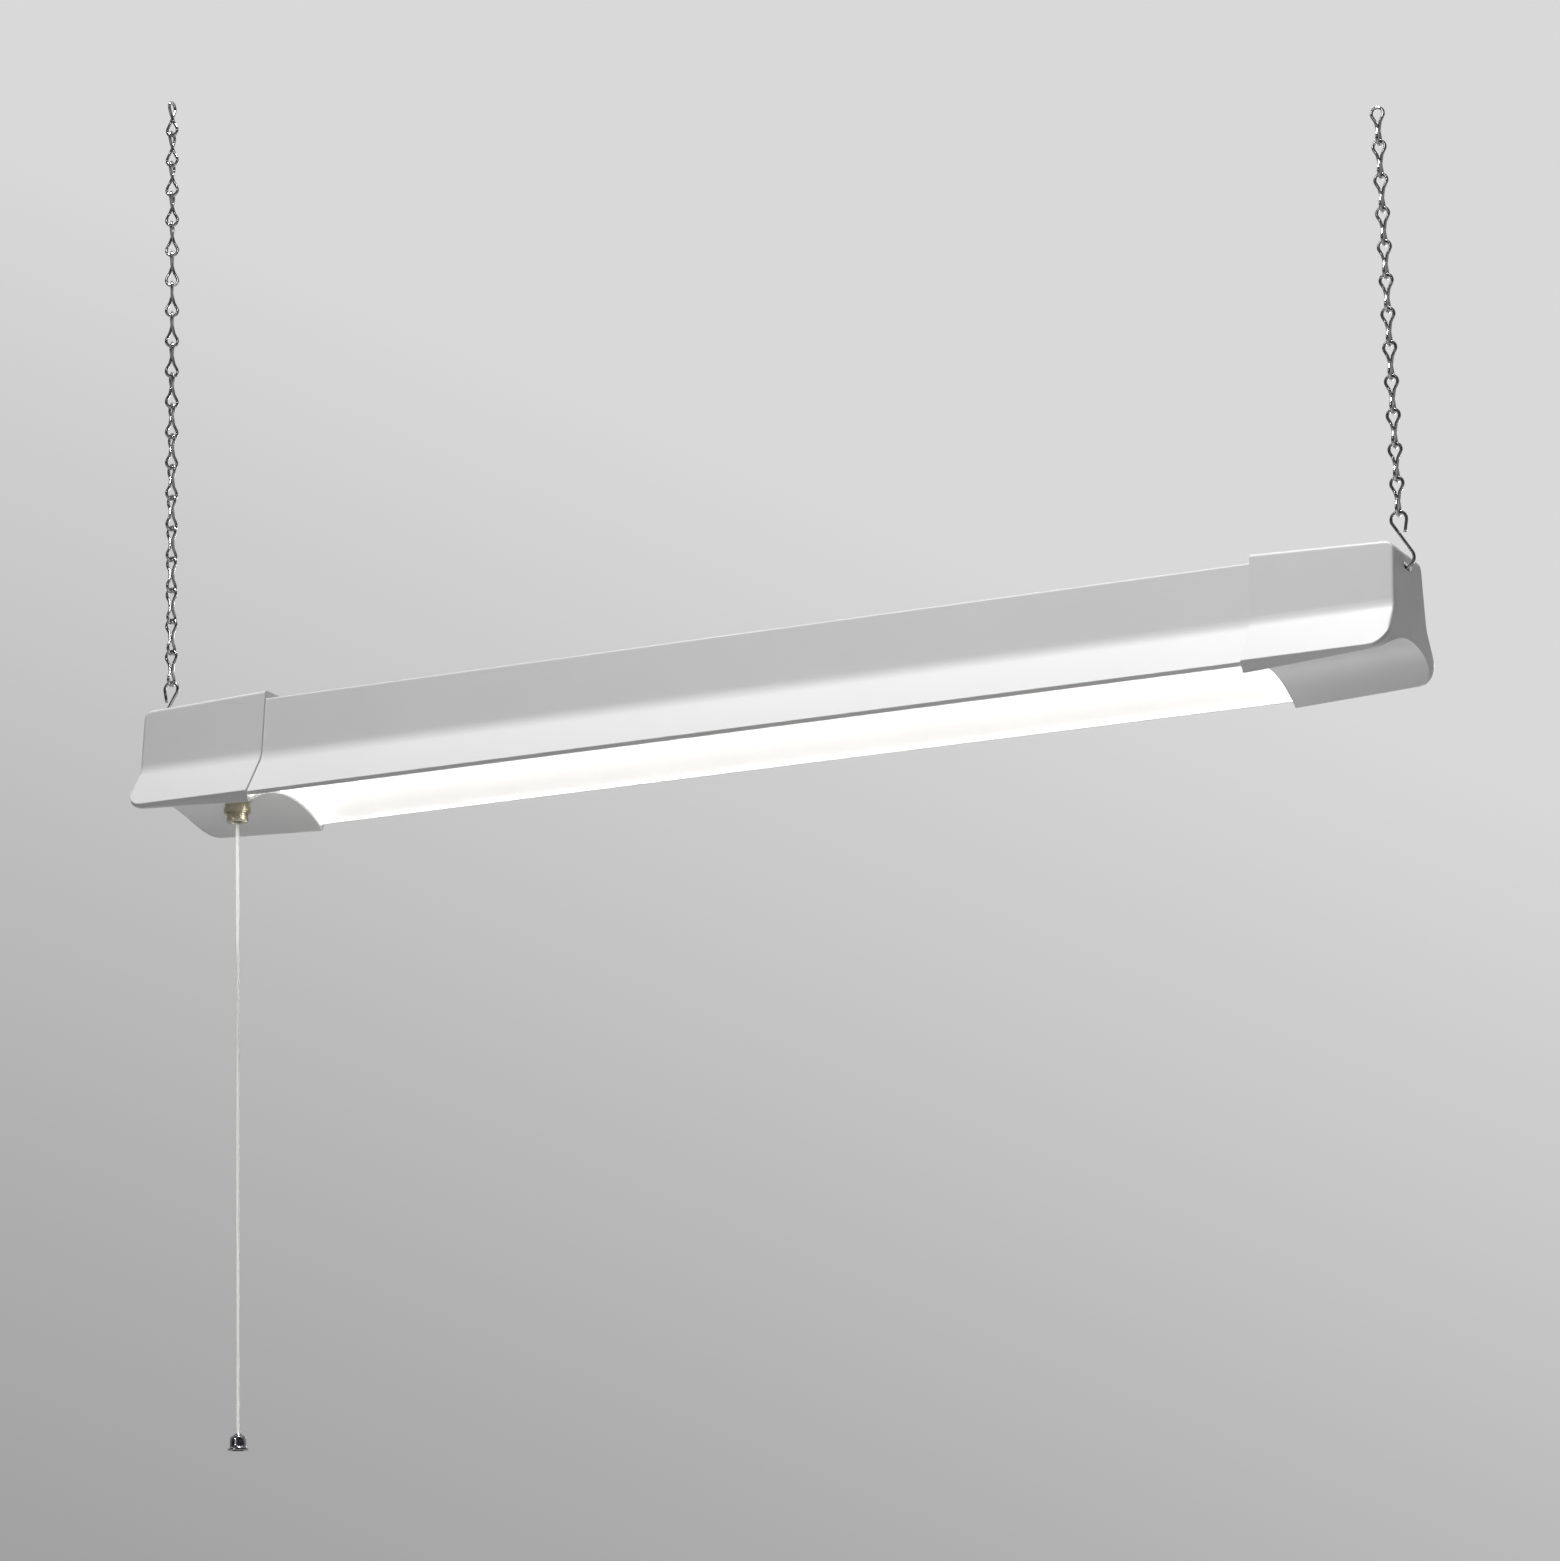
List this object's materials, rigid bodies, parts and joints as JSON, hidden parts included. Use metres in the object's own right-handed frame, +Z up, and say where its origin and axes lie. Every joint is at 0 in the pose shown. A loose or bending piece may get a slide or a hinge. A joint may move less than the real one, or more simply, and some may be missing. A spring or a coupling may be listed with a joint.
{
  "type": "hanging shop light",
  "caption": "Suspended linear fluorescent fixture: folded white reflector with moulded end caps, tubular lamps, jack chains on S-hooks, and a pull-cord switch.",
  "frame": {"origin": "eye of the left chain's top link, where the light is hung", "axes": "+X along the lamps from the switch end to the other end, +Y from front to rear, +Z up"},
  "size_m": [1.247, 0.1534, 1.3221],
  "materials": {
    "white_paint": "gloss white enamel on sheet steel",
    "white_plastic": "satin moulded plastic",
    "bright_steel": "bright zinc plate on wire",
    "zinc_steel": "zinc plated sheet and screws",
    "holder_plastic": "matt moulded plastic",
    "lamp_glass": "opal, phosphor coated",
    "lamp_base": "bright stamped aluminium",
    "brass": "turned brass, lightly lacquered",
    "switch_black": "matt phenolic",
    "cord_white": "braided white cord",
    "bell_metal": "dark plated metal",
    "bushing_black": "black nylon",
    "lead_yellow": "wire insulation",
    "ground_green": "green passivated steel",
    "ballast_can": "light grey painted steel"
  },
  "bodies": {
    "ceiling_links": {"left_top_link": "bright_steel", "right_top_link": "bright_steel"},
    "upper_links": {"left_second_link": "bright_steel", "right_second_link": "bright_steel"},
    "left_chain": {"left_chain": "bright_steel"},
    "right_chain": {"right_chain": "bright_steel"},
    "left_hook": {"left_s_hook": "bright_steel"},
    "right_hook": {"right_s_hook": "bright_steel"},
    "housing": {"reflector_housing": "white_paint", "left_end_cap": "white_plastic", "right_end_cap": "white_plastic", "left_end_plate": "zinc_steel", "right_end_plate": "zinc_steel", "plate_rivets": "zinc_steel", "left_cap_screws": "zinc_steel", "right_cap_screws": "zinc_steel", "ballast_cover": "white_paint", "cover_screws": "zinc_steel", "ballast": "ballast_can", "ballast_screws": "zinc_steel", "left_front_lampholder": "holder_plastic", "left_rear_lampholder": "holder_plastic", "right_front_lampholder": "holder_plastic", "right_rear_lampholder": "holder_plastic", "lampholder_screws": "zinc_steel", "switch_body": "switch_black", "switch_nozzle": "brass", "nozzle_nut": "brass", "lead_bushing": "bushing_black", "ground_screw": "ground_green", "left_lamp_leads": "lead_yellow", "right_lamp_leads": "lead_yellow"},
    "pull_rod": {"pull_rod": "zinc_steel"},
    "cord_ring": {"cord_ring": "zinc_steel"},
    "pull_cord": {"pull_cord": "cord_white", "cord_knot": "cord_white", "cord_bell": "bell_metal"},
    "front_lamp": {"front_lamp_rotors": "holder_plastic", "front_lamp_tube": "lamp_glass", "front_lamp_bases": "lamp_base", "front_lamp_pins": "brass"},
    "rear_lamp": {"rear_lamp_rotors": "holder_plastic", "rear_lamp_tube": "lamp_glass", "rear_lamp_bases": "lamp_base", "rear_lamp_pins": "brass"}
  },
  "joints": [
    {"name": "fore_aft_swing", "type": "hinge", "parent": "ceiling_links", "child": "upper_links", "pos_m": [0, 0, -0.0308], "axis": [0.9846, 0, -0.1747], "range_deg": [-15, 15]},
    {"name": "lengthwise_swing", "type": "hinge", "parent": "upper_links", "child": "left_chain", "pos_m": [0, 0, -0.0616], "axis": [0, 1, 0], "range_deg": [-4, 4]},
    {"name": "right_chain_swing", "type": "hinge", "parent": "upper_links", "child": "right_chain", "pos_m": [1.22, 0, -0.27805], "axis": [0, 1, 0], "range_deg": [-6.8, 6.8]},
    {"name": "left_hook_level", "type": "hinge", "parent": "left_chain", "child": "left_hook", "pos_m": [0, 0, -0.5852], "axis": [0, 1, 0], "range_deg": [-4, 4]},
    {"name": "right_hook_level", "type": "hinge", "parent": "right_chain", "child": "right_hook", "pos_m": [1.22, 0, -0.5861], "axis": [0, 1, 0], "range_deg": [-6.8, 6.8]},
    {"name": "housing_tilt", "type": "hinge", "parent": "left_hook", "child": "housing", "pos_m": [-0.003, 0, -0.63235], "axis": [1, 0, 0], "range_deg": [-15, 15]},
    {"name": "switch_pull", "type": "slide", "parent": "housing", "child": "pull_rod", "axis": [0, 0, -1], "range_m": [0, 0.008], "stiffness_N_per_m": 1500, "springref_m": -0.004},
    {"name": "ring_swing", "type": "hinge", "parent": "pull_rod", "child": "cord_ring", "pos_m": [0.072, 0, -0.72335], "axis": [1, 0, 0], "range_deg": [-10, 10]},
    {"name": "cord_swing", "type": "hinge", "parent": "cord_ring", "child": "pull_cord", "pos_m": [0.072, 0, -0.72755], "axis": [0, 1, 0], "range_deg": [-10, 10]},
    {"name": "front_lamp_turn", "type": "hinge", "parent": "housing", "child": "front_lamp", "pos_m": [0.61, -0.026, -0.67455], "axis": [1, 0, 0], "range_deg": [0, 90]},
    {"name": "rear_lamp_turn", "type": "hinge", "parent": "housing", "child": "rear_lamp", "pos_m": [0.61, 0.026, -0.67455], "axis": [1, 0, 0], "range_deg": [0, 90]}
  ],
  "couplings": [
    {"joint": "right_chain_swing", "follows": "lengthwise_swing", "ratio": 1.7},
    {"joint": "left_hook_level", "follows": "lengthwise_swing", "ratio": -1},
    {"joint": "right_hook_level", "follows": "lengthwise_swing", "ratio": -1.7}
  ]
}
